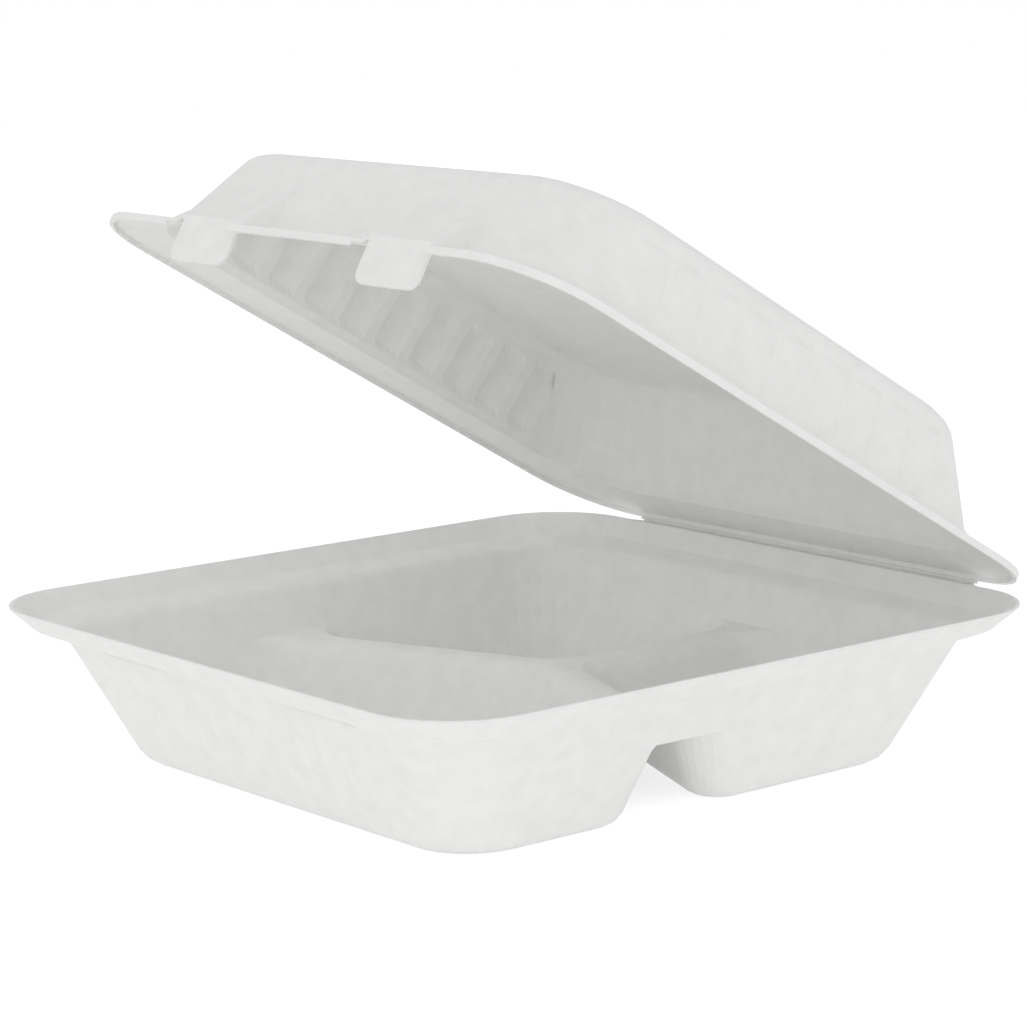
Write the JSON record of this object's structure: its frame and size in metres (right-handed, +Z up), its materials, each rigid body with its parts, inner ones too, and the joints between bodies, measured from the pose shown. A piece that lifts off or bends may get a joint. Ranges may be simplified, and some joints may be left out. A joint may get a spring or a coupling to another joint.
{
  "type": "fiber clamshell container",
  "caption": "Square moulded-fibre clamshell food container, open: a divided tray with a flared rim and a hinged domed lid with fluted sides and tuck tabs.",
  "frame": {"origin": "on the table, in the middle of the open container's footprint", "axes": "+Z up, +Y towards the hinge at the back, +X to the right seen from the front"},
  "size_m": [0.2286, 0.2456, 0.1839],
  "materials": {
    "fibre": "matte moulded plant fibre"
  },
  "bodies": {
    "tray": {"tray": "fibre"},
    "lid": {"lid": "fibre"}
  },
  "joints": [
    {"name": "lid_fold", "type": "hinge", "parent": "tray", "child": "lid", "pos_m": [0, 0.12119, 0.0478], "axis": [-1, 0, 0], "range_deg": [-30.3, 151]}
  ]
}
